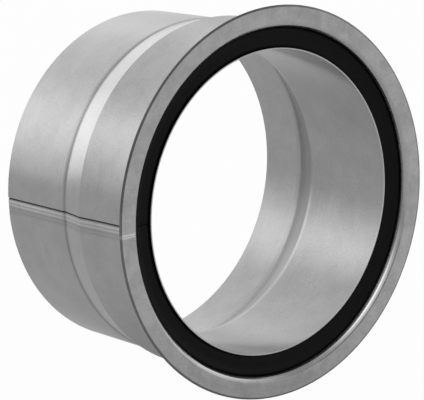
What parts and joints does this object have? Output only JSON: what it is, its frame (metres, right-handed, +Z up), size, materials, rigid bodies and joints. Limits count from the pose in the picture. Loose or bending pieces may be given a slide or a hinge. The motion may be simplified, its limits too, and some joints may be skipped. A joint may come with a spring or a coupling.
{
  "type": "flue wall sleeve",
  "caption": "Double-walled sheet-metal sleeve built into a wall, with a flanged front and a soft gasket ring, that seats a round stove pipe in a flue.",
  "frame": {"origin": "on the axis, at the front edge of the inner sleeve, just behind the flange, where the wall opening begins", "axes": "+Y along the axis, from the room into the wall; +Z up as built in, with the lock seam on the -X side"},
  "size_m": [0.1946, 0.107, 0.1946],
  "materials": {
    "shell_sheet": "dull metal-coated sheet steel, faintly mottled",
    "sleeve_sheet": "dull metal-coated sheet steel, a little smoother",
    "gasket": "matt black, soft"
  },
  "bodies": {
    "root": {"outer_shell": "shell_sheet", "inner_sleeve": "sleeve_sheet", "gasket": "gasket"}
  },
  "joints": []
}
